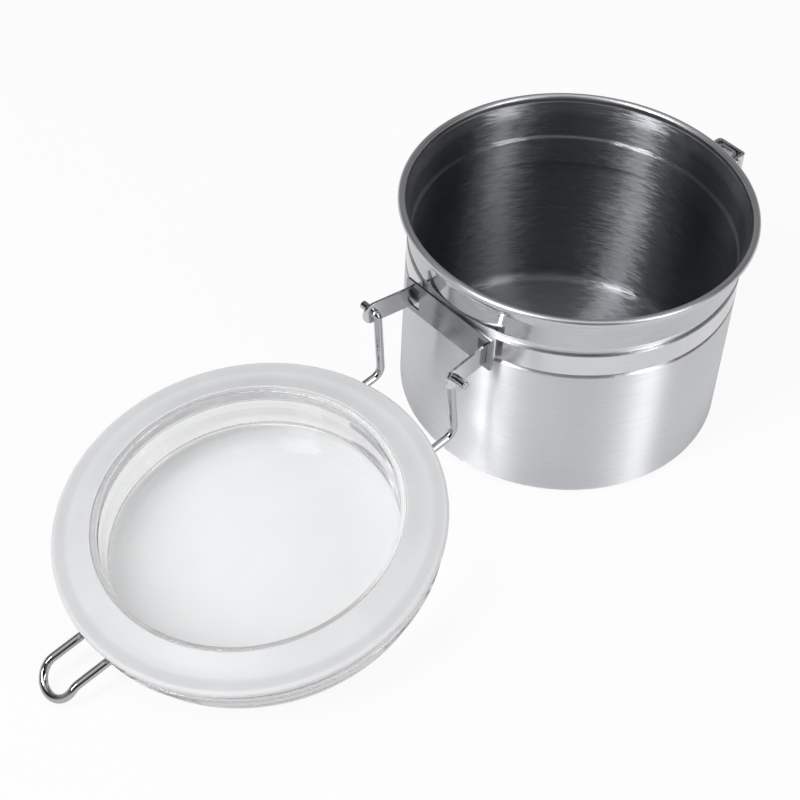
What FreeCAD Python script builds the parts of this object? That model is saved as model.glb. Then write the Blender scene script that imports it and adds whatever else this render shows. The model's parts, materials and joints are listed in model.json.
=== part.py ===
import FreeCAD, Part
import math
import os
import Sketcher

# Food canister: steel pot, clamp band with ears, hinge plate, wire bail, clear lid, gasket and front latch.
# Frame: origin at the middle of the base, +Z up, hinge towards -X, latch towards +X, sizes in mm.

doc = FreeCAD.newDocument("food_canister")
sheet = doc.addObject("Spreadsheet::Sheet", "dims")

# Driving sizes
SIZES = [
    ("body_height", "89.2", "rim top above the table"),
    ("wall_radius", "60.2", "outside of the pot wall"),
    ("sheet_thick", "0.8", "pot sheet"),
    ("base_corner", "5.0", "rounding between wall and base"),
    ("rim_overhang", "3.8", "rim outside the wall"),
    ("curl_radius", "1.4", "outside radius of the rolled rim in section"),
    ("curl_stem", "1.0", "upright stretch below the roll"),
    ("flare_height", "5.5", "height of the flare below the roll"),
    ("flare_ease", "8.0", "inside rounding between neck and flare"),
    ("neck_inset", "0.1", "neck and band inside the wall"),
    ("band_drop", "23.5", "hinge axis and middle of the band below the rim"),
    ("band_height", "8.6", "height of the band and of its ears"),
    ("band_thick", "1.0", "band strip"),
    ("fit_gap", "0.05", "gap round a turning wire or pin, and between gasket and lid"),
    ("seat_gap", "0.15", "gap between the band and the curved faces it sits against"),
    ("groove_above", "2.9", "groove left open above the band"),
    ("groove_below", "0.6", "groove left open below the band"),
    ("groove_slope", "0.8", "height of the sloped lower side of the groove"),
    ("groove_rise", "2.0", "height of the sloped upper side of the groove"),
    ("groove_ease", "4.4", "inside rounding where the upper side meets the groove floor"),
    ("shoulder_ease", "3.6", "inside rounding where the upper side meets the neck"),
    ("hinge_offset", "17.1", "hinge axis outside the pot wall"),
    ("ear_inner", "20.3", "inner face of each ear from the middle plane at the hinge axis"),
    ("ear_splay", "7.0", "outward turn of each ear in degrees"),
    ("bend_radius", "1.4", "middle-line radius where the band turns into an ear"),
    ("plate_edge", "2.2", "hinge plate outside its slots"),
    ("slot_room", "3.3", "slot of the hinge plate beside the inner face of an ear"),
    ("plate_height", "13.6", "hinge plate"),
    ("plate_thick", "0.9", "hinge plate"),
    ("plate_gap", "0.2", "hinge plate from the pot wall, and slot above, below and outside an ear"),
    ("plate_round", "1.0", "corners of the hinge plate"),
    ("wire_radius", "1.5", "bail wire"),
    ("leg_gap", "0.3", "each bail leg from its ear"),
    ("leg_splay", "0.8", "how much wider apart the legs are at the lid"),
    ("leg_lean", "1.8", "how far each leg leans towards the lid"),
    ("stub_out", "5.0", "wire ends outside the ears"),
    ("stub_ease", "0.25", "inside radius of the bend beside an ear"),
    ("leg_bend", "4.0", "middle-line bend from leg to ring"),
    ("ring_inset", "0.8", "middle line of the bail ring inside the rim"),
    ("leg_blend", "5.0", "blend from leg run to ring"),
    ("nose_half", "7.1", "nose sides from the middle plane"),
    ("nose_blend", "4.0", "blend from ring to nose"),
    ("nose_reach", "14.6", "where the nose starts to turn up, outside the ring"),
    ("nose_bend", "4.4", "middle-line bend of the upturned nose"),
    ("nose_angle", "36.7", "upturn of the nose in degrees"),
    ("seal_gap", "0.1", "gasket face above the rim when closed"),
    ("gasket_overhang", "3.3", "gasket outside the rim"),
    ("gasket_width", "13.9", "gasket ring"),
    ("gasket_thick", "2.4", "gasket where the rim presses"),
    ("gasket_drop", "3.2", "gasket lip below the sealing face"),
    ("gasket_ease", "0.8", "bevel of the gasket's outer edge"),
    ("seal_width", "3.6", "sealing face inside the rim"),
    ("plug_gap", "0.1", "lid plug inside the gasket"),
    ("plug_drop", "2.6", "end of the lid wall below the sealing face"),
    ("plug_wall", "1.9", "lid wall at its end"),
    ("recess_taper", "1.0", "recess narrower at the disc"),
    ("lid_depth", "20.0", "lid outer face above the sealing face"),
    ("disc_thick", "5.5", "lid disc"),
    ("lip_overhang", "1.2", "lips of the wire groove outside the rim"),
    ("wire_height", "6.9", "wire groove middle above the sealing face"),
    ("groove_room", "0.35", "wire groove clearance"),
    ("lip_thick", "2.85", "upper lip of the wire groove"),
    ("lip_slope", "1.2", "sloped top of the upper lip"),
    ("lip_ease", "0.55", "rounded edges of the lid"),
    ("shoulder_inset", "1.5", "lid side inside the rim"),
    ("shoulder_round", "3.0", "rounding of the lid outer face"),
    ("table_gap", "0.05", "lid above the table when open"),
    ("pin_offset", "21.3", "latch pin outside the pot wall"),
    ("pin_rise", "3.2", "latch pin above the middle of the band"),
    ("pin_radius", "1.0", "latch pin"),
    ("head_radius", "1.8", "latch pin heads"),
    ("head_thick", "0.6", "latch pin heads"),
    ("strip_thick", "1.0", "latch bracket strip"),
    ("strip_half", "4.6", "outside of the bracket strip from the middle plane"),
    ("strip_round", "3.0", "outside corner of the bracket strip"),
    ("strip_height", "5.6", "bracket strip"),
    ("strip_rise", "1.9", "top of the bracket strip above the pin"),
    ("strip_nose", "3.6", "bracket front ahead of the pin"),
    ("foot_thick", "1.0", "bracket foot on the band"),
    ("foot_edge", "2.0", "band left bare above and below the bracket foot"),
    ("foot_angle", "18.0", "angle covered by the bracket foot in degrees"),
    ("lever_thick", "1.2", "latch lever sheet"),
    ("lever_side_gap", "0.8", "lever flanges from the bracket strip"),
    ("lever_gap", "0.6", "lever web in front of the bracket at rest"),
    ("lever_top", "2.2", "lever web above the pin"),
    ("lever_back", "3.6", "lever flanges behind the pin"),
    ("flange_length", "17.0", "lever flanges below the pin"),
    ("hook_gap", "0.4", "lever web and lip from the nose when latched"),
    ("lip_reach", "4.6", "finger lip at the lower end of the lever"),
    ("lip_inset", "1.6", "finger lip narrower than the lever, each side"),
    ("lever_bend", "1.6", "outside bend of the lever"),
    ("cut_over", "1.0", "how far a cutting shape runs past what it cuts"),
]

# Sizes worked out from the driving sizes
DERIVED = [
    ("rim_radius", "=wall_radius + rim_overhang"),
    ("neck_radius", "=wall_radius - neck_inset"),
    ("wall_inner", "=wall_radius - sheet_thick"),
    ("neck_inner", "=neck_radius - sheet_thick"),
    ("corner_inner", "=base_corner - sheet_thick"),
    ("base_edge", "=wall_radius - base_corner"),
    ("band_mid", "=body_height - band_drop"),
    ("ear_round", "=band_height / 2"),
    ("band_low", "=band_mid - band_height / 2"),
    ("band_high", "=band_mid + band_height / 2"),
    ("band_inner", "=neck_radius - band_thick"),
    ("floor_radius", "=band_inner - seat_gap"),
    ("floor_inner", "=floor_radius - sheet_thick"),
    ("slope_shift", "=sheet_thick * 0.4"),
    ("rise_shift", "=sheet_thick * 0.27"),
    ("edge_ease", "=sheet_thick * 0.6"),
    ("flare_ease_out", "=flare_ease - sheet_thick"),
    ("groove_ease_out", "=groove_ease - sheet_thick"),
    ("shoulder_ease_out", "=shoulder_ease + sheet_thick"),
    ("groove_low", "=band_low - groove_below - groove_slope"),
    ("groove_low_floor", "=band_low - groove_below"),
    ("groove_high_floor", "=band_high + groove_above - groove_rise"),
    ("groove_high", "=band_high + groove_above"),
    ("groove_low_in", "=groove_low - slope_shift"),
    ("groove_low_floor_in", "=groove_low_floor - slope_shift"),
    ("groove_high_floor_in", "=groove_high_floor + rise_shift"),
    ("groove_high_in", "=groove_high + rise_shift"),
    ("curl_center", "=rim_radius - curl_radius"),
    ("curl_height", "=body_height - curl_radius"),
    ("curl_inside", "=curl_radius - sheet_thick"),
    ("curl_mouth", "=curl_center - curl_radius"),
    ("curl_skin", "=curl_center - curl_inside"),
    ("curl_end_low", "=curl_height - curl_radius"),
    ("curl_end_high", "=curl_height - curl_inside"),
    ("flare_top", "=curl_height - curl_stem"),
    ("flare_low", "=curl_height - flare_height"),
    ("hinge_reach", "=wall_radius + hinge_offset"),
    ("ear_outer", "=ear_inner + band_thick"),
    ("ear_mid", "=ear_inner + band_thick / 2"),
    ("band_middle", "=neck_radius - band_thick / 2"),
    ("ear_line", "=ear_mid * cos(ear_splay * 1 deg) - hinge_reach * sin(ear_splay * 1 deg)"),
    ("ear_run", "=ear_mid * sin(ear_splay * 1 deg) + hinge_reach * cos(ear_splay * 1 deg)"),
    ("ear_near", "=ear_line - band_thick / 2"),
    ("ear_far", "=ear_line + band_thick / 2"),
    ("ear_shift", "=ear_far * sin(ear_splay * 1 deg)"),
    ("ear_set", "=ear_far * cos(ear_splay * 1 deg)"),
    ("bend_side", "=ear_line + bend_radius"),
    ("bend_reach", "=sqrt((band_middle + bend_radius) ^ 2 - bend_side ^ 2)"),
    ("bend_inside", "=bend_radius - band_thick / 2"),
    ("bend_outside", "=bend_radius + band_thick / 2"),
    ("bend_ratio", "=1 / (band_middle + bend_radius)"),
    ("joint_out_reach", "=neck_radius * bend_reach * bend_ratio"),
    ("joint_out_side", "=neck_radius * bend_side * bend_ratio"),
    ("joint_in_reach", "=band_inner * bend_reach * bend_ratio"),
    ("joint_in_side", "=band_inner * bend_side * bend_ratio"),
    ("plate_back", "=wall_radius + plate_gap"),
    ("plate_front", "=plate_back + plate_thick"),
    ("slot_outer", "=plate_front * tan(ear_splay * 1 deg) + ear_far / cos(ear_splay * 1 deg) + plate_gap"),
    ("slot_inner", "=plate_back * tan(ear_splay * 1 deg) + ear_near / cos(ear_splay * 1 deg) - slot_room"),
    ("plate_width", "=2 * (slot_outer + plate_edge)"),
    ("hole_radius", "=wire_radius + fit_gap"),
    ("leg_half", "=ear_inner - leg_gap - wire_radius"),
    ("stub_end", "=ear_outer + stub_out"),
    ("stub_bend", "=wire_radius + stub_ease"),
    ("ring_radius", "=rim_radius - ring_inset"),
    ("nose_start", "=ring_radius + nose_reach"),
    ("nose_tip", "=nose_start + nose_bend * sin(nose_angle * 1 deg) + nose_half * cos(nose_angle * 1 deg)"),
    ("nose_rise", "=nose_bend * (1 - cos(nose_angle * 1 deg)) + nose_half * sin(nose_angle * 1 deg)"),
    ("closed_height", "=body_height + seal_gap"),
    ("lid_arm", "=closed_height - band_mid"),
    ("gasket_outer", "=rim_radius + gasket_overhang"),
    ("gasket_inner", "=gasket_outer - gasket_width"),
    ("gasket_flat", "=rim_radius - seal_width"),
    ("seal_level", "=gasket_drop"),
    ("seal_edge", "=gasket_outer - gasket_ease"),
    ("seal_edge_level", "=seal_level + gasket_ease"),
    ("gasket_top", "=seal_level + gasket_thick"),
    ("plug_end_side", "=gasket_inner - plug_gap"),
    ("plug_end", "=gasket_drop - plug_drop"),
    ("recess_mouth", "=plug_end_side - plug_wall"),
    ("recess_floor", "=recess_mouth - recess_taper"),
    ("flange_level", "=gasket_top + fit_gap"),
    ("lip_radius", "=rim_radius + lip_overhang"),
    ("wire_level", "=seal_level + wire_height"),
    ("wire_low", "=wire_level - wire_radius - groove_room"),
    ("wire_high", "=wire_level + wire_radius + groove_room"),
    ("wire_floor", "=ring_radius - wire_radius - groove_room"),
    ("lip_level", "=wire_high + lip_thick"),
    ("shoulder_radius", "=rim_radius - shoulder_inset"),
    ("shoulder_level", "=lip_level + lip_slope"),
    ("lid_top", "=seal_level + lid_depth"),
    ("lid_round_level", "=lid_top - shoulder_round"),
    ("lid_flat", "=shoulder_radius - shoulder_round"),
    ("disc_level", "=lid_top - disc_thick"),
    ("pin_reach", "=wall_radius + pin_offset"),
    ("pin_height", "=band_mid + pin_rise"),
    ("pin_hole", "=pin_radius + fit_gap"),
    ("strip_high", "=pin_height + strip_rise"),
    ("strip_low", "=strip_high - strip_height"),
    ("strip_front", "=pin_reach + strip_nose"),
    ("strip_front_in", "=strip_front - strip_thick"),
    ("strip_inner", "=strip_half - strip_thick"),
    ("strip_turn", "=strip_front - strip_round"),
    ("strip_turn_side", "=strip_half - strip_round"),
    ("strip_round_in", "=strip_round - strip_thick"),
    ("foot_inner", "=neck_radius + seat_gap"),
    ("foot_outer", "=foot_inner + foot_thick"),
    ("strip_back", "=neck_radius + foot_thick * 0.35"),
    ("foot_low", "=band_low + foot_edge"),
    ("foot_high", "=band_high - foot_edge"),
    ("web_inner", "=strip_nose + lever_gap"),
    ("web_outer", "=web_inner + lever_thick"),
    ("flange_inner", "=strip_half + lever_side_gap"),
    ("lever_half", "=flange_inner + lever_thick"),
    ("lip_half", "=lever_half - lip_inset"),
    ("hook_across", "=nose_tip - pin_reach"),
    ("hook_up", "=closed_height + wire_height + nose_rise - pin_height"),
    ("hook_offset", "=web_outer + wire_radius + hook_gap"),
    ("hook_along", "=sqrt(hook_across ^ 2 + hook_up ^ 2 - hook_offset ^ 2)"),
    ("lever_length", "=hook_along + wire_radius + hook_gap + lever_thick"),
    ("latch_swing", "=atan2(hook_up; hook_across) + acos(hook_offset / sqrt(hook_across ^ 2 + hook_up ^ 2))"),
    ("web_dip", "=web_inner * sin(latch_swing) + lever_top * cos(latch_swing)"),
    ("leg_high", "=pin_height + web_dip - hook_gap"),
    ("leg_step", "=pin_reach - sqrt(strip_nose ^ 2 - strip_rise ^ 2)"),
    ("leg_end", "=strip_back - cut_over"),
    ("leg_cut_high", "=strip_high + cut_over"),
]


def fill_sheet():
    row = 1
    for name, value, note in SIZES:
        sheet.set("A%d" % row, name)
        sheet.set("B%d" % row, value)
        sheet.setAlias("B%d" % row, name)
        sheet.set("C%d" % row, note)
        row += 1
    for name, formula in DERIVED:
        sheet.set("A%d" % row, name)
        sheet.set("B%d" % row, formula)
        sheet.setAlias("B%d" % row, name)
        row += 1
    doc.recompute()


def size(name):
    return float(sheet.get(name))


def bind(item, prop, name):
    item.setExpression(prop, "dims." + name)


def origin_part(body, role):
    for item in body.Origin.OriginFeatures:
        if item.Role == role:
            return item
    raise ValueError(role)


def new_body(name):
    body = doc.addObject("PartDesign::Body", name)
    body.Label = name
    return body


# Each corner of an outline is (x size, y size) and may add (arc size, turn, span). The arc runs from it to
# the next corner, turn is 1 for anticlockwise or -1 for clockwise, and span is "half" for a half circle or
# "large" for more than one. The size name "zero" is an axis.
def outline(body, name, role, corners, turned=0.0, turn_axis=(0, 1, 0), offset=None, holes=()):
    sketch = body.newObject("Sketcher::SketchObject", name)
    sketch.AttachmentSupport = [(origin_part(body, role), "")]
    sketch.MapMode = "FlatFace"
    spin = FreeCAD.Rotation(FreeCAD.Vector(*turn_axis), turned)
    sketch.AttachmentOffset = FreeCAD.Placement(FreeCAD.Vector(0, 0, 0), spin)
    if offset:
        sketch.setExpression("AttachmentOffset.Base.z", offset)
    spots = []
    for corner in corners:
        across = 0.0 if corner[0] == "zero" else size(corner[0])
        along = 0.0 if corner[1] == "zero" else size(corner[1])
        spots.append(FreeCAD.Vector(across, along, 0))
    count = len(corners)
    for index, corner in enumerate(corners):
        first = spots[index]
        last = spots[(index + 1) % count]
        if len(corner) > 2:
            large = len(corner) > 4 and corner[4] == "large"
            sketch.addGeometry(arc_between(first, last, size(corner[2]), corner[3], large))
        else:
            sketch.addGeometry(Part.LineSegment(first, last))
    for index, corner in enumerate(corners):
        after = (index + 1) % count
        ends = (index, end_of(corner), after, start_of(corners[after]))
        sketch.addConstraint(Sketcher.Constraint("Coincident", *ends))
    for index, corner in enumerate(corners):
        pin_point(sketch, index, start_of(corner), corner[0], corner[1])
        if len(corner) > 4 and corner[4] == "half":
            upright = corner[0] == corners[(index + 1) % count][0]
            kind = "DistanceX" if upright else "DistanceY"
            name = corner[0] if upright else corner[1]
            number = sketch.addConstraint(Sketcher.Constraint(kind, index, 3, size(name)))
            bind(sketch, "Constraints[%d]" % number, name)
        elif len(corner) > 2:
            number = sketch.addConstraint(Sketcher.Constraint("Radius", index, size(corner[2])))
            bind(sketch, "Constraints[%d]" % number, corner[2])
    for center_x, center_y, radius in holes:
        middle = FreeCAD.Vector(size(center_x), size(center_y), 0)
        ring = sketch.addGeometry(Part.Circle(middle, FreeCAD.Vector(0, 0, 1), size(radius)))
        pin_point(sketch, ring, 3, center_x, center_y)
        number = sketch.addConstraint(Sketcher.Constraint("Radius", ring, size(radius)))
        bind(sketch, "Constraints[%d]" % number, radius)
    return sketch


# An arc is always stored anticlockwise, so a clockwise one starts at its far end
def start_of(corner):
    return 2 if len(corner) > 2 and corner[3] < 0 else 1


def end_of(corner):
    return 1 if len(corner) > 2 and corner[3] < 0 else 2


def arc_between(first, last, radius, turn, large):
    chord = last - first
    half = chord.Length / 2
    middle = (first + last) * 0.5
    rise = math.sqrt(max(radius * radius - half * half, 0.0))
    side = FreeCAD.Vector(-chord.y, chord.x, 0)
    side.normalize()
    if large:
        rise = -rise
    center = middle + side * (rise * turn)
    circle = Part.Circle(center, FreeCAD.Vector(0, 0, 1), radius)
    low = math.atan2(first.y - center.y, first.x - center.x)
    high = math.atan2(last.y - center.y, last.x - center.x)
    if turn < 0:
        low, high = high, low
    while high <= low:
        high += 2 * math.pi
    return Part.ArcOfCircle(circle, low, high)


def pin_point(sketch, geometry, point, across, along):
    for kind, axis, name in (("DistanceX", -2, across), ("DistanceY", -1, along)):
        if name == "zero":
            sketch.addConstraint(Sketcher.Constraint("PointOnObject", geometry, point, axis))
        else:
            number = sketch.addConstraint(Sketcher.Constraint(kind, geometry, point, size(name)))
            bind(sketch, "Constraints[%d]" % number, name)


def revolve(body, name, sketch, angle=None):
    turn = body.newObject("PartDesign::Revolution", name)
    turn.Profile = sketch
    turn.ReferenceAxis = (sketch, ["V_Axis"])
    turn.Angle = 360.0
    if angle:
        turn.setExpression("Angle", angle)
        turn.Midplane = True
    body.Tip = turn
    doc.recompute()
    return turn


def pad(body, name, sketch, length):
    block = body.newObject("PartDesign::Pad", name)
    block.Profile = sketch
    block.setExpression("Length", length)
    body.Tip = block
    doc.recompute()
    return block


# A hole cut to both sides of its sketch
def bore(body, name, sketch, length):
    hole = body.newObject("PartDesign::Pocket", name)
    hole.Profile = sketch
    hole.setExpression("Length", length)
    hole.Midplane = True
    body.Tip = hole
    doc.recompute()
    return hole


def mirror(body, name, originals, role):
    copy = body.newObject("PartDesign::Mirrored", name)
    copy.Originals = originals
    copy.MirrorPlane = (origin_part(body, role), [""])
    body.Tip = copy
    doc.recompute()
    return copy


def round_off(body, name, base, test, radius):
    edges = []
    for number, edge in enumerate(base.Shape.Edges):
        if test(edge):
            edges.append("Edge%d" % (number + 1))
    if not edges:
        raise ValueError("no edge for " + name)
    fillet = body.newObject("PartDesign::Fillet", name)
    fillet.Base = (base, edges)
    fillet.setExpression("Radius", radius)
    body.Tip = fillet
    doc.recompute()
    return fillet


# True for a full circle about the upright axis with the given radius and height
def ring_edge(edge, radius, height):
    box = edge.BoundBox
    if box.ZMax - box.ZMin > 0.001:
        return False
    return abs(box.XMax - radius) < 0.01 and abs(box.ZMin - height) < 0.01 and abs(box.XMin + radius) < 0.01


def is_ring(pairs):
    wanted = [(size(radius), size(height)) for radius, height in pairs]
    return lambda edge: any(ring_edge(edge, radius, height) for radius, height in wanted)


def make_pot():
    body = new_body("canister_body")
    section = outline(body, "pot_section", "XZ_Plane", [
        ("zero", "zero"),
        ("base_edge", "zero", "base_corner", 1),
        ("wall_radius", "base_corner"),
        ("wall_radius", "groove_low"),
        ("floor_radius", "groove_low_floor"),
        ("floor_radius", "groove_high_floor"),
        ("neck_radius", "groove_high"),
        ("neck_radius", "flare_low"),
        ("curl_skin", "flare_top"),
        ("curl_skin", "curl_height", "curl_inside", -1, "large"),
        ("curl_center", "curl_end_high"),
        ("curl_center", "curl_end_low", "curl_radius", 1, "large"),
        ("curl_mouth", "curl_height"),
        ("curl_mouth", "flare_top"),
        ("neck_inner", "flare_low"),
        ("neck_inner", "groove_high_in"),
        ("floor_inner", "groove_high_floor_in"),
        ("floor_inner", "groove_low_floor_in"),
        ("wall_inner", "groove_low_in"),
        ("wall_inner", "base_corner", "corner_inner", -1),
        ("base_edge", "sheet_thick"),
        ("zero", "sheet_thick"),
    ])
    shell = revolve(body, "pot_shell", section)
    roundings = [
        ("flare_inside", [("neck_inner", "flare_low")], "flare_ease"),
        ("flare_outside", [("neck_radius", "flare_low")], "flare_ease_out"),
        ("groove_inside", [("floor_inner", "groove_high_floor_in")], "groove_ease"),
        ("groove_outside", [("floor_radius", "groove_high_floor")], "groove_ease_out"),
        ("shoulder_inside", [("neck_inner", "groove_high_in")], "shoulder_ease"),
        ("shoulder_outside", [("neck_radius", "groove_high")], "shoulder_ease_out"),
        ("pot_edges", [("wall_radius", "groove_low"), ("floor_inner", "groove_low_floor_in")], "edge_ease"),
    ]
    for name, rings, radius in roundings:
        shell = round_off(body, name, shell, is_ring(rings), "dims." + radius)
    return body


def make_band():
    body = new_body("clamp_band")
    strip = outline(body, "strip_section", "XZ_Plane", [
        ("band_inner", "band_low"),
        ("neck_radius", "band_low"),
        ("neck_radius", "band_high"),
        ("band_inner", "band_high"),
    ])
    missing = "2 * atan(dims.bend_side / dims.bend_reach) + 2 * dims.ear_splay * 1 deg"
    revolve(body, "strip_ring", strip, "360 deg - (%s)" % missing)
    turned = 180.0 + size("ear_splay")
    corner = outline(body, "bend_plan", "XY_Plane", [
        ("joint_out_reach", "joint_out_side", "bend_inside", 1),
        ("bend_reach", "ear_far"),
        ("bend_reach", "ear_near", "bend_outside", -1),
        ("joint_in_reach", "joint_in_side"),
    ], turned, (0, 0, 1), "dims.band_low")
    turn = pad(body, "bend", corner, "dims.band_height")
    side = outline(body, "ear_side", "XZ_Plane", [
        ("bend_reach", "band_low"),
        ("ear_run", "band_low", "ear_round", 1, "half"),
        ("ear_run", "band_high"),
        ("bend_reach", "band_high"),
    ], turned, (0, 1, 0), "dims.ear_set")
    side.setExpression("AttachmentOffset.Base.x", "dims.ear_shift")
    ear = pad(body, "ear", side, "dims.band_thick")
    mirror(body, "ear_pair", [turn, ear], "XZ_Plane")
    ring = outline(body, "hinge_hole", "XZ_Plane", [], 180.0, (0, 1, 0), None,
                   [("hinge_reach", "band_mid", "hole_radius")])
    bore(body, "hinge_holes", ring, "4 * dims.ear_outer")
    return body


def box(name, length, width, height, corner):
    block = doc.addObject("Part::Box", name)
    block.setExpression("Length", length)
    block.setExpression("Width", width)
    block.setExpression("Height", height)
    for axis, expression in zip("xyz", corner):
        block.setExpression("Placement.Base." + axis, expression)
    return block


def rod(name, radius, height, turned, corner):
    bar = doc.addObject("Part::Cylinder", name)
    bar.setExpression("Radius", radius)
    bar.setExpression("Height", height)
    bar.Placement = FreeCAD.Placement(FreeCAD.Vector(0, 0, 0), turned)
    for axis, expression in zip("xyz", corner):
        bar.setExpression("Placement.Base." + axis, expression)
    return bar


def fuse(name, pieces):
    joined = doc.addObject("Part::MultiFuse", name)
    joined.Shapes = pieces
    joined.Refine = True
    doc.recompute()
    return joined


def cut(name, base, tool):
    rest = doc.addObject("Part::Cut", name)
    rest.Base = base
    rest.Tool = tool
    doc.recompute()
    return rest


def soften(name, base, test, radius):
    numbers = [number + 1 for number, edge in enumerate(base.Shape.Edges) if test(edge)]
    if not numbers:
        raise ValueError("no edge for " + name)
    eased = doc.addObject("Part::Fillet", name)
    eased.Base = base
    eased.Edges = [(number, radius, radius) for number in numbers]
    doc.recompute()
    return eased


# True for a straight edge along the given axis that passes one of the given points of the other two axes
def line_edge(edge, axis, spots):
    spot = edge.CenterOfMass
    span = edge.BoundBox
    lengths = [span.XLength, span.YLength, span.ZLength]
    across = [number for number in range(3) if number != axis]
    if any(lengths[number] > 0.001 for number in across):
        return False
    values = [spot.x, spot.y, spot.z]
    here = [values[number] for number in across]
    return any(abs(here[0] - one) < 0.01 and abs(here[1] - two) < 0.01 for one, two in spots)


def make_plate():
    blank = box("plate_blank", "dims.plate_thick", "dims.plate_width", "dims.plate_height",
                ["-dims.plate_front", "-dims.plate_width / 2", "dims.band_mid - dims.plate_height / 2"])
    slots = []
    for name, side in (("slot_left", "dims.slot_inner"), ("slot_right", "-dims.slot_outer")):
        slots.append(box(name, "dims.plate_thick + 2 * dims.cut_over", "dims.slot_outer - dims.slot_inner",
                         "dims.band_height + 2 * dims.plate_gap",
                         ["-dims.plate_front - dims.cut_over", side, "dims.band_low - dims.plate_gap"]))
    tool = fuse("plate_slots", slots)
    plain = cut("plate_cut", blank, tool)
    half = size("plate_width") / 2
    rise = size("plate_height") / 2
    spots = [(side * half, size("band_mid") + top * rise) for side in (-1, 1) for top in (-1, 1)]
    plate = soften("hinge_plate", plain, lambda edge: line_edge(edge, 0, spots), size("plate_round"))
    plate.Label = "hinge_plate"
    return plate


# The wire runs from one ear down a leg, round half of the ring and the nose, and back the same way mirrored
def make_bail():
    radius = size("wire_radius")
    reach = size("hinge_reach")
    axis = size("band_mid")
    level = size("closed_height") + size("wire_height")
    run_side = size("leg_half") + size("leg_splay")
    ring = size("ring_radius")
    blend = size("leg_blend")
    nose = size("nose_half")
    ease = size("nose_blend")
    rise = math.radians(size("nose_angle"))
    upturn = size("nose_bend")
    start = size("nose_start")
    edges = []

    def line(first, last):
        edges.append(Part.LineSegment(first, last).toShape())

    def arc(first, middle, last):
        edges.append(Part.Arc(first, middle, last).toShape())

    # Two straight runs that meet at a corner, joined by a bend: returns where the bend ends
    def run_and_bend(first, corner, last, bend):
        before = unit(corner - first)
        after = unit(last - corner)
        half = before.getAngle(after) / 2
        back = bend * math.tan(half)
        bend_start = corner - before * back
        bend_end = corner + after * back
        inward = unit(after - before)
        middle = corner + inward * (bend / math.cos(half) - bend)
        line(first, bend_start)
        arc(bend_start, middle, bend_end)
        return bend_end

    center = FreeCAD.Vector(0, 0, level)
    end = FreeCAD.Vector(-reach, size("stub_end"), axis)
    ear_corner = FreeCAD.Vector(-reach, size("leg_half"), axis)
    lid_corner = FreeCAD.Vector(size("leg_lean") - reach, run_side, level)
    blend_side = run_side + blend
    blend_center = FreeCAD.Vector(-math.sqrt((ring + blend) ** 2 - blend_side ** 2), blend_side, level)
    run_end = FreeCAD.Vector(blend_center.x, run_side, level)
    ring_start = toward(center, blend_center, ring)
    ease_side = nose + ease
    ease_center = FreeCAD.Vector(math.sqrt((ring + ease) ** 2 - ease_side ** 2), ease_side, level)
    ring_end = toward(center, ease_center, ring)
    nose_in = FreeCAD.Vector(ease_center.x, nose, level)
    half_angle = (math.atan2(ring_start.y, ring_start.x) + math.atan2(ring_end.y, ring_end.x)) / 2
    ring_mid = center + FreeCAD.Vector(math.cos(half_angle), math.sin(half_angle), 0) * ring
    turn_start = FreeCAD.Vector(start, nose, level)
    turn_mid = turn_start + FreeCAD.Vector(math.sin(rise / 2), 0, 1 - math.cos(rise / 2)) * upturn
    turn_end = turn_start + FreeCAD.Vector(math.sin(rise), 0, 1 - math.cos(rise)) * upturn
    tip = turn_end + FreeCAD.Vector(math.cos(rise), -1, math.sin(rise)) * nose

    leg_start = run_and_bend(end, ear_corner, lid_corner, size("stub_bend"))
    run_start = run_and_bend(leg_start, lid_corner, run_end, size("leg_bend"))
    line(run_start, run_end)
    arc(run_end, toward(blend_center, (run_end + ring_start) * 0.5, blend), ring_start)
    arc(ring_start, ring_mid, ring_end)
    arc(ring_end, toward(ease_center, (nose_in + ring_end) * 0.5, ease), nose_in)
    line(nose_in, turn_start)
    arc(turn_start, turn_mid, turn_end)
    other = [edge.mirror(FreeCAD.Vector(0, 0, 0), FreeCAD.Vector(0, 1, 0)) for edge in edges]
    arc(turn_end, tip, FreeCAD.Vector(turn_end.x, -turn_end.y, turn_end.z))
    path = Part.Wire(Part.__sortEdges__(edges + other))
    circle = Part.Wire([Part.Circle(end, FreeCAD.Vector(0, 1, 0), radius).toShape()])
    wire = doc.addObject("Part::Feature", "bail_wire")
    wire.Label = "bail_wire"
    wire.Shape = path.makePipeShell([circle], True, False)
    return wire


def unit(vector):
    return FreeCAD.Vector(vector).normalize()


def toward(center, target, distance):
    return center + unit(target - center) * distance


def make_lid():
    body = new_body("lid")
    section = outline(body, "lid_section", "XZ_Plane", [
        ("zero", "disc_level"),
        ("recess_floor", "disc_level"),
        ("recess_mouth", "plug_end"),
        ("plug_end_side", "plug_end"),
        ("plug_end_side", "flange_level"),
        ("lip_radius", "flange_level"),
        ("lip_radius", "wire_low"),
        ("wire_floor", "wire_low"),
        ("wire_floor", "wire_high"),
        ("lip_radius", "wire_high"),
        ("lip_radius", "lip_level"),
        ("shoulder_radius", "shoulder_level"),
        ("shoulder_radius", "lid_round_level", "shoulder_round", 1),
        ("lid_flat", "lid_top"),
        ("zero", "lid_top"),
    ])
    block = revolve(body, "lid_block", section)
    soft = is_ring([
        ("lip_radius", "flange_level"),
        ("lip_radius", "wire_low"),
        ("lip_radius", "wire_high"),
        ("lip_radius", "lip_level"),
        ("recess_mouth", "plug_end"),
    ])
    round_off(body, "lid_edges", block, soft, "dims.lip_ease")
    return body


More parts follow.
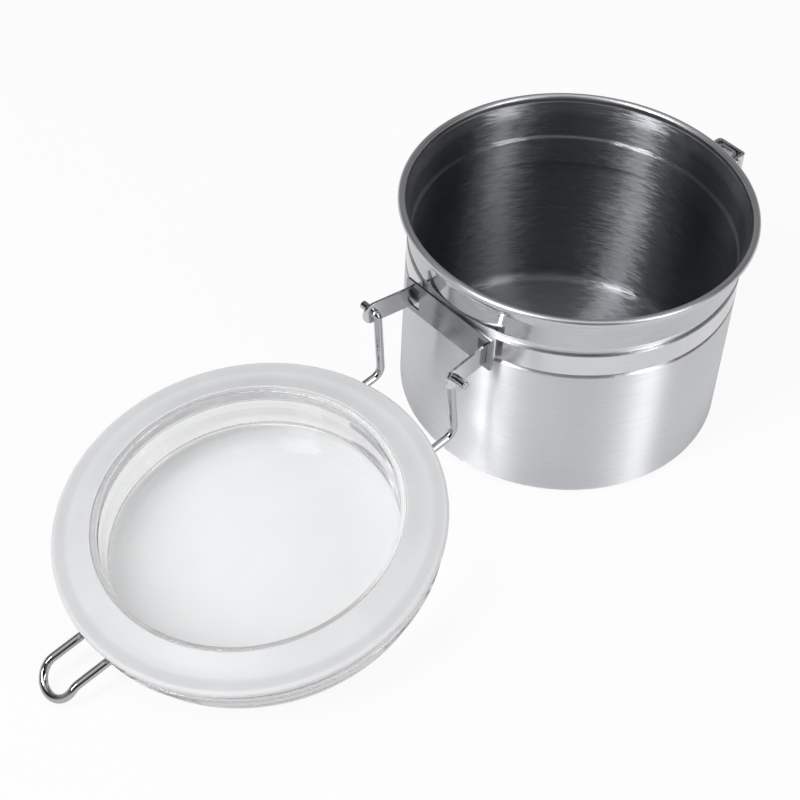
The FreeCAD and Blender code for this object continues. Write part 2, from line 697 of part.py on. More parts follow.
def make_gasket():
    body = new_body("lid_gasket")
    section = outline(body, "gasket_section", "XZ_Plane", [
        ("gasket_inner", "zero"),
        ("gasket_flat", "seal_level"),
        ("seal_edge", "seal_level"),
        ("gasket_outer", "seal_edge_level"),
        ("gasket_outer", "gasket_top"),
        ("gasket_inner", "gasket_top"),
    ])
    revolve(body, "gasket_ring", section)
    return body


def make_bracket():
    body = new_body("latch_bracket")
    foot = outline(body, "foot_section", "XZ_Plane", [
        ("foot_inner", "foot_low"),
        ("foot_outer", "foot_low"),
        ("foot_outer", "foot_high"),
        ("foot_inner", "foot_high"),
    ])
    revolve(body, "foot", foot, "dims.foot_angle")
    plan = outline(body, "strip_plan", "XY_Plane", [
        ("strip_front_in", "zero"),
        ("strip_front", "zero"),
        ("strip_front", "strip_turn_side", "strip_round", 1),
        ("strip_turn", "strip_half"),
        ("strip_back", "strip_half"),
        ("strip_back", "strip_inner"),
        ("strip_turn", "strip_inner", "strip_round_in", -1),
        ("strip_front_in", "strip_turn_side"),
    ], 0.0, (0, 0, 1), "dims.strip_low")
    strip = pad(body, "strip", plan, "dims.strip_high - dims.strip_low")
    mirror(body, "strip_pair", [strip], "XZ_Plane")
    # Behind the pin the legs are lower, so that the web of the swung-up lever clears them
    lower = outline(body, "leg_cut", "XZ_Plane", [
        ("leg_end", "leg_high"),
        ("leg_step", "leg_high"),
        ("leg_step", "leg_cut_high"),
        ("leg_end", "leg_cut_high"),
    ])
    bore(body, "leg_tops", lower, "4 * dims.strip_half")
    ring = outline(body, "pin_hole_ring", "XZ_Plane", [], 0.0, (0, 1, 0), None,
                   [("pin_reach", "pin_height", "pin_hole")])
    bore(body, "pin_holes", ring, "4 * dims.strip_half")
    return body


def make_pin():
    upright = FreeCAD.Rotation(FreeCAD.Vector(1, 0, 0), -90)
    head_face = "dims.lever_half + dims.fit_gap * 2"
    shaft = rod("pin_shaft", "dims.pin_radius", "2 * (%s)" % head_face, upright,
                ["dims.pin_reach", "-(%s)" % head_face, "dims.pin_height"])
    near = rod("pin_head_near", "dims.head_radius", "dims.head_thick", upright,
               ["dims.pin_reach", "-(%s) - dims.head_thick" % head_face, "dims.pin_height"])
    far = rod("pin_head_far", "dims.head_radius", "dims.head_thick", upright,
              ["dims.pin_reach", head_face, "dims.pin_height"])
    pin = fuse("latch_pin", [shaft, near, far])
    pin.Label = "latch_pin"
    return pin


def make_lever():
    along = FreeCAD.Rotation(FreeCAD.Vector(1, 0, 0), -90)
    web = box("lever_web", "dims.lever_thick", "2 * dims.lever_half", "dims.lever_length + dims.lever_top",
              ["dims.pin_reach + dims.web_inner", "-dims.lever_half", "dims.pin_height - dims.lever_length"])
    lip = box("lever_lip", "dims.lip_reach + dims.lever_thick", "2 * dims.lip_half", "dims.lever_thick",
              ["dims.pin_reach + dims.web_inner", "-dims.lip_half", "dims.pin_height - dims.lever_length"])
    pieces = [web, lip]
    for name, side in (("left", "dims.flange_inner"), ("right", "-dims.lever_half")):
        pieces.append(box("flange_" + name, "dims.web_outer + dims.lever_back", "dims.lever_thick",
                          "dims.flange_length + dims.lever_top",
                          ["dims.pin_reach - dims.lever_back", side, "dims.pin_height - dims.flange_length"]))
    blank = fuse("lever_blank", pieces)
    hole = rod("lever_hole", "dims.pin_hole", "2 * dims.lever_half + 2", along,
               ["dims.pin_reach", "-dims.lever_half - 1", "dims.pin_height"])
    drilled = cut("lever_drilled", blank, hole)
    outer = size("pin_reach") + size("web_outer")
    inner = size("pin_reach") + size("web_inner")
    half = size("lever_half")
    corners = [(outer, half), (outer, -half)]
    bent = soften("lever_bent", drilled, lambda edge: line_edge(edge, 2, corners), size("lever_bend"))
    back = size("pin_reach") - size("lever_back")
    low = size("pin_height") - size("flange_length")
    high = size("pin_height") + size("lever_top")
    ends = [(back, low), (back, high)]
    flanged = soften("lever_flanged", bent, lambda edge: line_edge(edge, 1, ends), size("lever_top"))
    lip_end = inner + size("lip_reach") + size("lever_thick")
    tips = [(lip_end, side * size("lip_half")) for side in (-1, 1)]
    lever = soften("latch_lever", flanged, lambda edge: line_edge(edge, 2, tips), size("lip_reach") / 2)
    lever.Label = "latch_lever"
    return lever


# Tilt at which a rounded corner of the open lid group comes down on the table
def tilt_to_table(across, drop, roundness):
    room = size("band_mid") - roundness - size("table_gap")
    return math.degrees(math.asin(room / math.hypot(across, drop)) - math.atan2(drop, across))


# The open lid comes down on its rounded edge or on the nose of the wire, whichever is first
def open_tilt():
    edge_across = size("hinge_reach") + size("lid_flat")
    edge_drop = size("lid_arm") + size("lid_depth") - size("shoulder_round")
    nose_across = size("hinge_reach") + size("nose_tip")
    nose_drop = size("lid_arm") + size("wire_height") + size("nose_rise")
    on_edge = tilt_to_table(edge_across, edge_drop, size("shoulder_round"))
    on_nose = tilt_to_table(nose_across, nose_drop, size("wire_radius"))
    return min(on_edge, on_nose)


def open_pose():
    axis = FreeCAD.Vector(-size("hinge_reach"), 0, size("band_mid"))
    turn = FreeCAD.Rotation(FreeCAD.Vector(0, 1, 0), -(180 + open_tilt()))
    return FreeCAD.Placement(axis, turn) * FreeCAD.Placement(-axis, FreeCAD.Rotation())


def check(item):
    if "Invalid" in item.State or "Error" in item.State:
        raise ValueError("bad feature " + item.Name)
    if hasattr(item, "Shape") and item.TypeId.startswith("Part"):
        if item.Shape.isNull() or not item.Shape.isValid():
            raise ValueError("bad shape " + item.Name)


fill_sheet()
pot = make_pot()
band = make_band()
plate = make_plate()
bail = make_bail()
lid = make_lid()
gasket = make_gasket()
bracket = make_bracket()
pin = make_pin()
lever = make_lever()
doc.recompute()

# Pose of the lid group: turned open about the hinge axis
pose = open_pose()
lift = FreeCAD.Placement(FreeCAD.Vector(0, 0, size("closed_height") - size("seal_level")), FreeCAD.Rotation())
bail.Placement = pose
lid.Placement = pose * lift
gasket.Placement = pose * lift
doc.recompute()

pieces = [pot, band, plate, bail, lid, gasket, bracket, pin, lever]
for item in doc.Objects:
    check(item)
os.makedirs("parts", exist_ok=True)
for piece in pieces:
    piece.Shape.exportStep("parts/" + piece.Label + ".step")
    bounds = piece.Shape.BoundBox
    print(piece.Label, len(piece.Shape.Solids), round(piece.Shape.Volume, 1), bounds)
print("lid range", 180 + open_tilt(), "lever range", size("latch_swing"))
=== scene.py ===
import json
import math

import bmesh
import bpy
from mathutils import Matrix, Vector


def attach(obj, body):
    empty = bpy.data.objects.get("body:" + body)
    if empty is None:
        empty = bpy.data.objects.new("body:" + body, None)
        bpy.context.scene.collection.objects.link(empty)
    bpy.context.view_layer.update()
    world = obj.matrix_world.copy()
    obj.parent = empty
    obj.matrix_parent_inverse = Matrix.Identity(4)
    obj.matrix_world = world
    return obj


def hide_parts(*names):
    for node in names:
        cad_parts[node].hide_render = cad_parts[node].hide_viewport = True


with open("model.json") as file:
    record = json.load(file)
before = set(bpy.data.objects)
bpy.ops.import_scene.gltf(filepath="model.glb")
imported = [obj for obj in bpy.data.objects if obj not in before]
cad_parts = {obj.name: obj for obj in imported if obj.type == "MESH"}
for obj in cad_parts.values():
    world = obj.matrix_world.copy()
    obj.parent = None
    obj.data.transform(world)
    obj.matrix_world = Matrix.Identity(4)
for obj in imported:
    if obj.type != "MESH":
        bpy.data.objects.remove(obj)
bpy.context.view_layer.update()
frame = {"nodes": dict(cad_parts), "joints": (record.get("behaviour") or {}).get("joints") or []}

MM = 0.001

# Shapes: a profile is a list of (radius, height, rounding) in millimetres about an upright axis
TURNS = 256
LID_TURNS = 512
CORNER_STEPS = 8
ON_AXIS = 1e-6
TIGHT_ROUNDING = 3.0
EASE_SHARE = 0.3
EASE_LIMIT = 0.2
WELD = 0.002 * MM
FLAT_ANGLE = math.radians(0.2)
BEVEL_STEPS = 3
NORMAL_WEIGHT = 80


def arc_points(center, radius, first, last, steps):
    points = []
    for step in range(steps + 1):
        angle = math.radians(first + (last - first) * step / steps)
        reach = center[0] + radius * math.cos(angle)
        height = center[1] + radius * math.sin(angle)
        points.append((reach, height, 0))
    return points


# A corner becomes an arc, and a tight one gets a point before and after it so that flat stretches shade flat
def rounded(corners, closed):
    points = []
    count = len(corners)
    for index, (reach, height, rounding) in enumerate(corners):
        here = Vector((reach, height))
        at_end = not closed and index in (0, count - 1)
        if rounding == 0 or at_end:
            points.append(here)
            continue
        before = Vector(corners[index - 1][:2]) - here
        after = Vector(corners[(index + 1) % count][:2]) - here
        half = before.angle(after) / 2
        back = rounding / math.tan(half)
        before.normalize()
        after.normalize()
        middle = here + (before + after).normalized() * (rounding / math.sin(half))
        start = here + before * back - middle
        turn = start.angle_signed(here + after * back - middle)
        arc = []
        for step in range(CORNER_STEPS + 1):
            spin = Matrix.Rotation(-turn * step / CORNER_STEPS, 2)
            arc.append(middle + spin @ start)
        if rounding < TIGHT_ROUNDING:
            ease = min(EASE_SHARE * back, EASE_LIMIT)
            arc.insert(0, here + before * (back + ease))
            arc.append(here + after * (back + ease))
        points += arc
    return points


def add_object(name, data):
    made = bpy.data.objects.new(name, data)
    bpy.context.scene.collection.objects.link(made)
    return made


def mesh_object(name, vertices, faces):
    data = bpy.data.meshes.new(name)
    data.from_pydata(vertices, [], faces)
    work = bmesh.new()
    work.from_mesh(data)
    bmesh.ops.recalc_face_normals(work, faces=work.faces)
    work.to_mesh(data)
    work.free()
    data.polygons.foreach_set("use_smooth", [True] * len(data.polygons))
    return add_object(name, data)


# A turned piece: a ring of vertices for each point of the profile, or one vertex for a point on the axis
def lathe(name, corners, closed=False, turns=TURNS):
    vertices = []
    rings = []
    for point in rounded(corners, closed):
        first = len(vertices)
        if point.x < ON_AXIS:
            rings.append([first] * turns)
            vertices.append((0, 0, point.y * MM))
            continue
        rings.append(list(range(first, first + turns)))
        for turn in range(turns):
            angle = math.tau * turn / turns
            vertices.append((point.x * MM * math.cos(angle), point.x * MM * math.sin(angle), point.y * MM))
    pairs = list(zip(rings, rings[1:]))
    if closed:
        pairs.append((rings[-1], rings[0]))
    faces = []
    for low, high in pairs:
        for turn in range(turns):
            after = (turn + 1) % turns
            face = (low[turn], low[after], high[after], high[turn])
            faces.append(tuple(dict.fromkeys(face)))
    return mesh_object(name, vertices, faces)


# A sheet or wire piece: the part's own solid with its cut edges broken
def edged(name, node_name, width, angle):
    work = bmesh.new()
    work.from_mesh(frame["nodes"][node_name].data)
    bmesh.ops.remove_doubles(work, verts=work.verts, dist=WELD)
    bmesh.ops.dissolve_limit(work, angle_limit=FLAT_ANGLE, verts=work.verts, edges=work.edges)
    work.verts.index_update()
    vertices = [vertex.co.copy() for vertex in work.verts]
    faces = [[vertex.index for vertex in face.verts] for face in work.faces]
    work.free()
    made = mesh_object(name, vertices, faces)
    bevel = made.modifiers.new("broken_edges", "BEVEL")
    bevel.width = width * MM
    bevel.segments = BEVEL_STEPS
    bevel.limit_method = "ANGLE"
    bevel.angle_limit = math.radians(angle)
    even = made.modifiers.new("even_shading", "WEIGHTED_NORMAL")
    even.keep_sharp = True
    even.weight = NORMAL_WEIGHT
    return made


def finish_piece(piece, body, node_name, slot_name, *materials):
    for made in materials:
        piece.data.materials.append(made)
    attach(piece, body)
    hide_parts(node_name)


# Shader nodes: an input is linked if it is given a socket, and set if it is given a value
def node(tree, kind, inputs=None, **settings):
    made = tree.nodes.new("ShaderNode" + kind)
    for key, value in settings.items():
        setattr(made, key, value)
    for key, value in (inputs or {}).items():
        if isinstance(value, bpy.types.NodeSocket):
            tree.links.new(value, made.inputs[key])
        else:
            made.inputs[key].default_value = value
    return made


def math_node(tree, operation, *values):
    return node(tree, "Math", dict(enumerate(values)), operation=operation).outputs["Value"]


def vector_node(tree, operation, inputs, result="Vector"):
    return node(tree, "VectorMath", inputs, operation=operation).outputs[result]


def mix_shader(tree, share, first, second):
    return node(tree, "MixShader", {"Fac": share, 1: first, 2: second}).outputs["Shader"]


# A value that runs from start to end becomes one that runs from first to last
def remap(tree, value, first, last, start=0.25, end=0.75):
    inputs = {"Value": value, "From Min": start, "From Max": end, "To Min": first, "To Max": last}
    return node(tree, "MapRange", inputs).outputs["Result"]


def shade(tree, value, dark, light, start=0.3, end=0.7):
    ramp = node(tree, "ValToRGB", {"Fac": value})
    for element, position, colour in zip(ramp.color_ramp.elements, (start, end), (dark, light)):
        element.position = position
        element.color = (*colour, 1)
    return ramp.outputs["Color"]


def object_spot(tree):
    return node(tree, "TexCoord").outputs["Object"]


def noise(tree, where, scale, detail):
    return node(tree, "TexNoise", {"Vector": where, "Scale": scale, "Detail": detail}).outputs["Fac"]


def blend(tree, first, second, share):
    most = math_node(tree, "MULTIPLY", first, share)
    rest = math_node(tree, "MULTIPLY", second, 1 - share)
    return math_node(tree, "ADD", most, rest)


# Streaks that run round the axis: long along the turn, fine across it
def turned_noise(tree, around, across, detail, place=0.0):
    spot = object_spot(tree)
    flat = vector_node(tree, "MULTIPLY", {0: spot, 1: (1, 1, 0)})
    reach = vector_node(tree, "LENGTH", {0: flat}, "Value")
    way = vector_node(tree, "NORMALIZE", {0: flat})
    height = node(tree, "SeparateXYZ", {0: spot}).outputs["Z"]
    level = math_node(tree, "MULTIPLY_ADD", math_node(tree, "ADD", reach, height), across, place)
    wide = vector_node(tree, "SCALE", {0: way, "Scale": around})
    lift = node(tree, "CombineXYZ", {"Z": level}).outputs["Vector"]
    where = vector_node(tree, "ADD", {0: wide, 1: lift})
    return noise(tree, where, scale=1.0, detail=detail)


# Materials: rough is the least and greatest roughness, dark and light are the ends of the colour
def new_material(name):
    made = bpy.data.materials.new(name)
    made.use_nodes = True
    made.node_tree.nodes.clear()
    return made, made.node_tree


def show(tree, shader):
    node(tree, "OutputMaterial", {"Surface": shader})


# Satin steel, brushed round the pot: light spreads up and down it, and each streak leans a little sideways
def brushed_steel(name, rough, dark, light, lean):
    made, tree = new_material(name)
    fine = turned_noise(tree, around=5.0, across=1500.0, detail=3.0)
    broad = turned_noise(tree, around=3.0, across=500.0, detail=2.0, place=40.0)
    streaks = blend(tree, fine, broad, share=0.7)
    sway = remap(tree, turned_noise(tree, around=12.0, across=1500.0, detail=3.0, place=15.0), -lean, lean)
    tangent = node(tree, "Tangent", direction_type="RADIAL", axis="Z").outputs["Tangent"]
    aside = vector_node(tree, "SCALE", {0: tangent, "Scale": sway})
    outward = node(tree, "NewGeometry").outputs["Normal"]
    leaning = vector_node(tree, "ADD", {0: outward, 1: aside})
    even = vector_node(tree, "NORMALIZE", {0: leaning})
    bump = node(tree, "Bump", {"Height": fine, "Strength": 0.1, "Distance": 0.1 * MM, "Normal": even})
    shader = node(tree, "BsdfPrincipled", {
        "Base Color": shade(tree, streaks, dark, light),
        "Roughness": remap(tree, streaks, *rough),
        "Metallic": 1.0,
        "Anisotropic": 1.0,
        "Anisotropic Rotation": 0.25,
        "Tangent": tangent,
        "Normal": bump.outputs["Normal"],
    })
    show(tree, shader.outputs["BSDF"])
    return made


# Polished steel: fine turning marks under a faint smear
def polished_steel(name, rough, dark, light):
    made, tree = new_material(name)
    fine = turned_noise(tree, around=5.0, across=3200.0, detail=3.0, place=7.0)
    smear = noise(tree, object_spot(tree), scale=45.0, detail=4.0)
    marks = blend(tree, fine, smear, share=0.5)
    bump = node(tree, "Bump", {"Height": fine, "Strength": 0.03, "Distance": 0.08 * MM})
    shader = node(tree, "BsdfPrincipled", {
        "Base Color": shade(tree, marks, dark, light),
        "Roughness": remap(tree, marks, *rough),
        "Metallic": 1.0,
        "Normal": bump.outputs["Normal"],
    })
    show(tree, shader.outputs["BSDF"])
    return made


# Clear plastic: a shadow ray passes straight through it, a little dimmed
def clear_plastic(dark, light, dimmed):
    made, tree = new_material("clear_plastic")
    haze = noise(tree, object_spot(tree), scale=70.0, detail=5.0)
    shader = node(tree, "BsdfPrincipled", {
        "Base Color": shade(tree, haze, dark, light),
        "Roughness": 0.0,
        "Transmission Weight": 1.0,
        "IOR": 1.49,
    })
    straight = node(tree, "BsdfTransparent", {"Color": (*dimmed, 1)})
    in_shadow = node(tree, "LightPath").outputs["Is Shadow Ray"]
    show(tree, mix_shader(tree, in_shadow, shader.outputs["BSDF"], straight.outputs["BSDF"]))
    return made


# Frosted silicone, greyer in a band near the rim of a ring about the given axis: painted shade for the lid's
# flange seen through the translucent gasket
GREY_FROM = 61.6 * MM
GREY_FULL = 63.2 * MM
GREY_FADES = 65.4 * MM
GREY_TO = 66.4 * MM
PAINTED_SHADE_DEPTH = 0.3


def frosted_silicone_painted_shade(axis_spot, axis_way, rough, dark, light):
    made, tree = new_material("frosted_silicone_painted_shade")
    spot = object_spot(tree)
    cloud = noise(tree, spot, scale=60.0, detail=4.0)
    grain = noise(tree, spot, scale=1800.0, detail=2.0)
    frost = blend(tree, cloud, grain, share=0.7)
    # Painted shade: a grey ring by distance from the lid's axis, darkest over the lid's flange
    away = vector_node(tree, "SUBTRACT", {0: spot, 1: axis_spot})
    aside = vector_node(tree, "CROSS_PRODUCT", {0: away, 1: axis_way})
    reach = vector_node(tree, "LENGTH", {0: aside}, "Value")
    rising = remap(tree, reach, first=0.0, last=PAINTED_SHADE_DEPTH, start=GREY_FROM, end=GREY_FULL)
    falling = remap(tree, reach, first=1.0, last=0.0, start=GREY_FADES, end=GREY_TO)
    band = math_node(tree, "MULTIPLY", rising, falling)
    clouded = remap(tree, frost, first=0.65, last=0.85, start=0.3, end=0.7)
    level = math_node(tree, "SUBTRACT", clouded, band)
    bump = node(tree, "Bump", {"Height": grain, "Strength": 0.05, "Distance": 0.1 * MM})
    shader = node(tree, "BsdfPrincipled", {
        "Base Color": shade(tree, level, dark, light, start=0.25, end=0.85),
        "Roughness": remap(tree, frost, *rough),
        "Subsurface Weight": 0.35,
        "Subsurface Radius": (1.0, 1.0, 1.0),
        "Subsurface Scale": 2.0 * MM,
        "IOR": 1.42,
        "Normal": bump.outputs["Normal"],
    })
    show(tree, shader.outputs["BSDF"])
    return made


wall_steel = brushed_steel(
    "brushed_steel", rough=(0.36, 0.42), dark=(0.79, 0.798, 0.825), light=(0.87, 0.878, 0.905), lean=0.02)
# Painted shade: the inside of the pot is the wall's brushed steel made much darker
inside_steel_painted_shade = brushed_steel(
    "brushed_steel_inside_painted_shade", rough=(0.34, 0.40), dark=(0.27, 0.277, 0.292), light=(0.33, 0.338, 0.355),
    lean=0.07)
rim_steel = polished_steel(
    "satin_rim_steel", rough=(0.30, 0.40), dark=(0.55, 0.557, 0.575), light=(0.63, 0.637, 0.655))
neck_steel = polished_steel(
    "polished_rim_steel", rough=(0.10, 0.20), dark=(0.47, 0.476, 0.494), light=(0.55, 0.556, 0.574))
band_steel = polished_steel(
    "polished_band_steel", rough=(0.09, 0.20), dark=(0.60, 0.605, 0.618), light=(0.69, 0.695, 0.708))
# Painted shade: the hinge plate is the band's polished steel made darker, for the shaded lid it mirrors
plate_steel_painted_shade = polished_steel(
    "polished_plate_steel_painted_shade", rough=(0.12, 0.24), dark=(0.28, 0.287, 0.307), light=(0.38, 0.387, 0.407))
wire_steel = polished_steel(
    "bright_wire_steel", rough=(0.05, 0.13), dark=(0.42, 0.426, 0.44), light=(0.54, 0.546, 0.56))
lid_plastic = clear_plastic(
    dark=(0.93, 0.934, 0.94), light=(0.95, 0.953, 0.958), dimmed=(0.925, 0.928, 0.932))

# Pot: base, wall, rolled groove, neck, flare and rolled rim, then back down the inside
SHEET = 0.8
WALL = 60.2
WALL_TOP = 60.0
GROOVE = 58.95
GROOVE_LOW = 60.8
GROOVE_HIGH = 70.9
NECK = 60.1
NECK_LOW = 72.9
NECK_TOP = 82.3
FLARE = 62.0
FLARE_TOP = 86.8
CURL = (62.6, 87.8)
CURL_OUTER = 1.4
CURL_INNER = 0.6
LEDGE_LOW = 71.8
LEDGE_HIGH = 72.45
INSIDE_DROP = 0.32
pot_corners = [
    (0, 0, 0),
    (WALL, 0, 5.0),
    (WALL, WALL_TOP, 0.6),
    (GROOVE, GROOVE_LOW, 0.5),
    (GROOVE, GROOVE_HIGH, 3.6),
    (NECK, NECK_LOW, 4.4),
    (NECK, NECK_TOP, 7.2),
    (FLARE, FLARE_TOP, 1.0),
]
pot_corners += arc_points(CURL, CURL_INNER, first=180, last=-90, steps=18)
pot_corners += arc_points(CURL, CURL_OUTER, first=-90, last=180, steps=30)
pot_corners += [
    (FLARE - SHEET, FLARE_TOP, 1.4),
    (NECK - SHEET, NECK_TOP, 8.0),
    (NECK - SHEET, LEDGE_HIGH, 0.8),
    (GROOVE - SHEET, LEDGE_LOW, 0.8),
    (GROOVE - SHEET, GROOVE_LOW - INSIDE_DROP, 0.6),
    (WALL - SHEET, WALL_TOP - INSIDE_DROP, 1.1),
    (WALL - SHEET, SHEET, 4.2),
    (0, SHEET, 0),
]
pot = lathe("pot", pot_corners)
pot_steels = [wall_steel, neck_steel, inside_steel_painted_shade, rim_steel]
finish_piece(pot, "canister", "canister_body", "pot_steel", *pot_steels)

# The pot's wall, neck, inside and rim each show their own steel; the inside's steel is the wall's made much
# darker, painted shade
NECK_STEEL_LOW = 73.5 * MM
RIM_STEEL_LOW = 86.9 * MM
RIM_STEEL_LOW_INSIDE = 85.4 * MM
FLOOR_HIGH = 1.0 * MM
UPWARD = 0.5
for face in pot.data.polygons:
    spot = face.center
    on_floor = spot.z < FLOOR_HIGH and face.normal.z > UPWARD
    outside = face.normal.xy.dot(spot.xy) > 0 and not on_floor
    if spot.z > (RIM_STEEL_LOW if outside else RIM_STEEL_LOW_INSIDE):
        face.material_index = pot_steels.index(rim_steel)
    elif spot.z > NECK_STEEL_LOW and outside:
        face.material_index = pot_steels.index(neck_steel)
    elif on_floor or (not outside and spot.z > FLOOR_HIGH):
        face.material_index = pot_steels.index(inside_steel_painted_shade)

# Lid and gasket: made closed, with heights above the gasket's lower edge, and turned open by the hinge
LID_LIFT = 86.1 * MM
hinge = [joint for joint in frame["joints"] if joint["name"] == "lid_hinge"][0]
hinge_spot = Vector(hinge["pos_m"])
open_angle = math.radians(hinge["range_deg"][1])
open_pose = Matrix.Translation(hinge_spot) @ Matrix.Rotation(-open_angle, 4, "Y")
open_pose = open_pose @ Matrix.Translation(Vector((0, 0, LID_LIFT)) - hinge_spot)

# Lid: recess, plug, seat for the gasket, two flanges with the wire's groove between them, and the top
RECESS_FLOOR = 17.7
RECESS_END = 50.4
RECESS_MOUTH = 51.4
PLUG = 53.3
PLUG_END = 0.6
SEAT = 5.65
FLANGE = 65.2
FLANGE_TOP = 14.8
WIRE_GROOVE = 61.35
WIRE_GROOVE_LOW = 8.25
WIRE_GROOVE_HIGH = 11.95
CROWN = 62.5
CROWN_LOW = 16.0
LID_TOP = 23.2
lid_corners = [
    (0, RECESS_FLOOR, 0),
    (RECESS_END, RECESS_FLOOR, 1.2),
    (RECESS_MOUTH, PLUG_END, 0.7),
    (PLUG, PLUG_END, 0.4),
    (PLUG, SEAT, 0.3),
    (FLANGE, SEAT, 0.55),
    (FLANGE, WIRE_GROOVE_LOW, 0.55),
    (WIRE_GROOVE, WIRE_GROOVE_LOW, 0.4),
    (WIRE_GROOVE, WIRE_GROOVE_HIGH, 0.4),
    (FLANGE, WIRE_GROOVE_HIGH, 0.55),
    (FLANGE, FLANGE_TOP, 0.55),
    (CROWN, CROWN_LOW, 0.6),
    (CROWN, LID_TOP, 3.0),
    (0, LID_TOP, 0),
]
lid = lathe("lid_shell", lid_corners, turns=LID_TURNS)
lid.data.transform(open_pose)
finish_piece(lid, "lid_group", "lid", "clear_lid", lid_plastic)

# Gasket: a ring on the lid's plug, dished below and with a thin rim
GASKET_HOLE = 53.4
GASKET_RIM = 67.3
GASKET_RIM_LOW = 4.0
GASKET_TOP = 5.6
DISH = 3.2
DISH_START = 60.4
DISH_END = 66.5
gasket_corners = [
    (GASKET_HOLE, 0.0, 0.4),
    (DISH_START, DISH, 12.0),
    (DISH_END, DISH, 0.8),
    (GASKET_RIM, GASKET_RIM_LOW, 0.4),
    (GASKET_RIM, GASKET_TOP, 0.3),
    (GASKET_HOLE, GASKET_TOP, 0.3),
]
# The gasket's silicone carries the painted shade ring over the lid's flange
gasket_silicone_painted_shade = frosted_silicone_painted_shade(
    axis_spot=open_pose.translation, axis_way=open_pose.to_3x3() @ Vector((0, 0, 1)),
    rough=(0.38, 0.52), dark=(0.66, 0.666, 0.678), light=(0.81, 0.816, 0.828))
gasket = lathe("gasket_ring", gasket_corners, closed=True)
gasket.data.transform(open_pose)
finish_piece(gasket, "lid_group", "lid_gasket", "frosted_gasket", gasket_silicone_painted_shade)

# Sheet metal and wire: edges that turn by more than the angle are broken by the width, in millimetres
SHARP_SHEET_ANGLE = 40
SHARP_WIRE_ANGLE = 50
metal_pieces = [
    ("band_strip", "canister", "clamp_band", "band_steel", band_steel, 0.18, SHARP_SHEET_ANGLE),
    ("plate_sheet", "canister", "hinge_plate", "band_steel", plate_steel_painted_shade, 0.15, SHARP_SHEET_ANGLE),
    ("bracket_strip", "canister", "latch_bracket", "band_steel", band_steel, 0.02, SHARP_SHEET_ANGLE),
    ("pin_rivet", "canister", "latch_pin", "wire_steel", wire_steel, 0.2, SHARP_SHEET_ANGLE),
    ("lever_sheet", "lever", "latch_lever", "band_steel", band_steel, 0.2, SHARP_SHEET_ANGLE),
    ("bail_rod", "lid_group", "bail_wire", "wire_steel", wire_steel, 0.3, SHARP_WIRE_ANGLE),
]
for name, body, node_name, slot_name, steel, width, angle in metal_pieces:
    finish_piece(edged(name, node_name, width, angle), body, node_name, slot_name, steel)

# Floor: white, with the object's shadow
FLOOR_HALF = 12.0
FLOOR_LEVEL = -0.2 * MM
FLOOR_COLOUR = (0.86, 0.86, 0.86, 1)
WHITE = (1, 1, 1, 1)
SEEN_GLOW = 0.92
THROUGH_GLOW = 0.30
NEAR_GLOW = 0.1
FAR_GLOW = 0.65


def white_floor():
    made, tree = new_material("white_floor")
    matt = node(tree, "BsdfDiffuse", {"Color": FLOOR_COLOUR})
    glow = node(tree, "Emission", {"Color": WHITE, "Strength": 1.0})
    path = node(tree, "LightPath").outputs
    seen = math_node(tree, "MULTIPLY", path["Is Camera Ray"], SEEN_GLOW)
    through = math_node(tree, "MULTIPLY", path["Is Transmission Ray"], THROUGH_GLOW)
    # Steel close to the floor mirrors the shade under it
    far_off = remap(tree, path["Ray Length"], NEAR_GLOW, FAR_GLOW, start=4.0 * MM, end=50.0 * MM)
    mirrored = math_node(tree, "MULTIPLY", path["Is Glossy Ray"], far_off)
    share = math_node(tree, "MAXIMUM", math_node(tree, "MAXIMUM", seen, through), mirrored)
    show(tree, mix_shader(tree, share, matt.outputs["BSDF"], glow.outputs["Emission"]))
    return made


floor_signs = [(-1, -1), (1, -1), (1, 1), (-1, 1)]
floor_corners = [(x * FLOOR_HALF, y * FLOOR_HALF, FLOOR_LEVEL) for x, y in floor_signs]
floor = mesh_object("floor", floor_corners, [(0, 1, 2, 3)])
floor.data.materials.append(white_floor())

# Light: two softboxes, in a room that is dim but for its back wall and ceiling
SOFTBOX_AWAY = 1.3
SOFTBOX_HEIGHT = 1.0
BACK_WALL_WAY = (0.69, 0.72, 0)
CAMERA_SIDE_WAY = (-0.545, -0.839, 0)
WHITE_THROUGH_LID = 0.85
HALF_BOUNCE = 0.5


def softbox(name, azimuth, elevation, width, radiance):
    data = bpy.data.lights.new(name, "AREA")
    data.shape = "RECTANGLE"
    data.size = width
    data.size_y = SOFTBOX_HEIGHT
    data.energy = radiance * math.pi * width * SOFTBOX_HEIGHT
    made = add_object(name, data)
    around = math.radians(azimuth)
    up = math.radians(elevation)
    way = Vector((math.cos(up) * math.cos(around), math.cos(up) * math.sin(around), math.sin(up)))
    made.location = way * SOFTBOX_AWAY
    made.rotation_euler = way.to_track_quat("Z", "Y").to_euler()
    made.visible_camera = False
    # Shadow rays already pass the clear lid, so its refraction doesn't show the lamps a second time
    made.visible_transmission = False


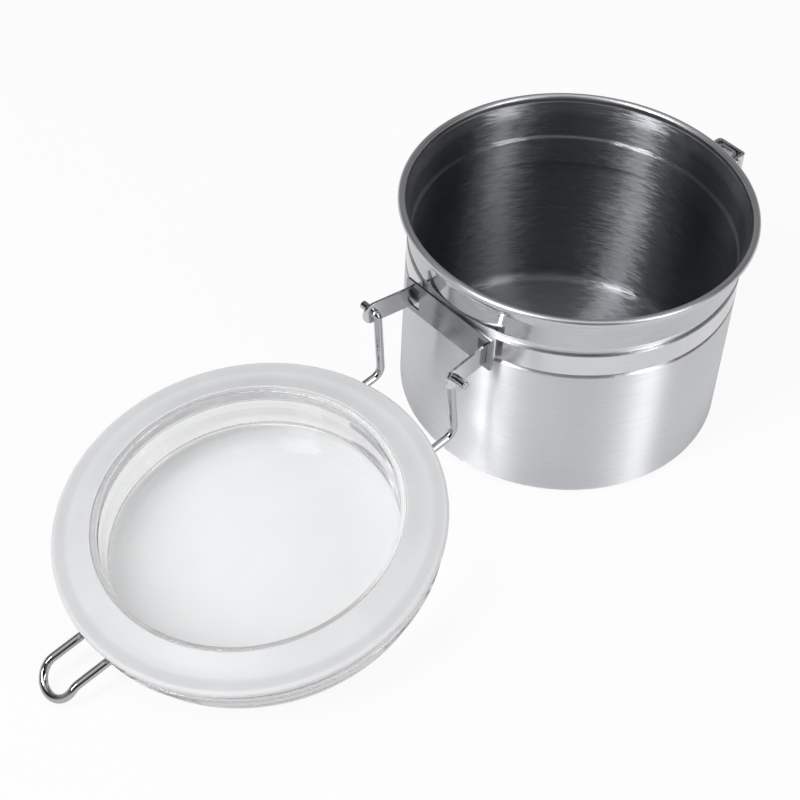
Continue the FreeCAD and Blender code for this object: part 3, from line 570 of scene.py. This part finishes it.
def studio_world():
    made = bpy.data.worlds.new("studio")
    made.use_nodes = True
    tree = made.node_tree
    tree.nodes.clear()
    way = node(tree, "TexCoord").outputs["Generated"]
    upward = node(tree, "SeparateXYZ", {0: way}).outputs["Z"]
    to_back = vector_node(tree, "DOT_PRODUCT", {0: way, 1: BACK_WALL_WAY}, "Value")
    to_camera = vector_node(tree, "DOT_PRODUCT", {0: way, 1: CAMERA_SIDE_WAY}, "Value")
    back_wall = remap(tree, to_back, first=0.035, last=0.32, start=0.1, end=0.8)
    low_wall = remap(tree, upward, first=0.6, last=0.0, start=0.12, end=0.42)
    dark_camera = remap(tree, to_camera, first=1.0, last=0.15, start=0.955, end=0.985)
    ceiling = remap(tree, upward, first=0.0, last=0.95, start=0.8, end=0.95)
    walls = math_node(tree, "MAXIMUM", back_wall, math_node(tree, "MULTIPLY", low_wall, dark_camera))
    room = node(tree, "Background", {"Strength": math_node(tree, "ADD", walls, ceiling)})
    path = node(tree, "LightPath").outputs
    # The camera sees a white wall, also through the lid, and the floor isn't lit by that wall
    straight = math_node(tree, "LESS_THAN", path["Diffuse Depth"], HALF_BOUNCE)
    whiteness = remap(tree, path["Is Camera Ray"], WHITE_THROUGH_LID, 1.0, start=0.0, end=1.0)
    backdrop = node(tree, "Background", {"Strength": math_node(tree, "MULTIPLY", straight, whiteness)})
    seen = math_node(tree, "MAXIMUM", path["Is Camera Ray"], path["Is Transmission Ray"])
    mixed = mix_shader(tree, seen, room.outputs["Background"], backdrop.outputs["Background"])
    node(tree, "OutputWorld", {"Surface": mixed})
    return made


softbox("softbox_hinge_side", azimuth=178, elevation=46, width=0.28, radiance=10.7)
softbox("softbox_front_side", azimuth=-80, elevation=38, width=0.30, radiance=5.3)

# Camera: its place and turn were fitted to the photo's outlines
CAMERA_SPOT = Vector((-0.38782254, -0.32118092, 0.49219208))
CAMERA_AHEAD = Vector((0.4835, 0.50827, -0.71266))
CAMERA_RIGHT = Vector((0.7477, -0.66315, 0.03431))


def photo_camera():
    data = bpy.data.cameras.new("camera")
    data.lens = 81.5263
    data.sensor_width = 36.0
    data.clip_start = 0.01
    data.clip_end = 50.0
    made = add_object("camera", data)
    ahead = CAMERA_AHEAD.normalized()
    right = (CAMERA_RIGHT - ahead * CAMERA_RIGHT.dot(ahead)).normalized()
    above = right.cross(ahead)
    turn = Matrix((right, above, -ahead)).transposed().to_4x4()
    made.matrix_world = Matrix.Translation(CAMERA_SPOT) @ turn
    return made


scene = bpy.context.scene
scene.world = studio_world()
scene.camera = photo_camera()
scene.view_settings.view_transform = "Standard"
# Light goes round many times inside the clear lid's edge
scene.cycles.max_bounces = 24
scene.cycles.transmission_bounces = 24
scene.cycles.glossy_bounces = 16
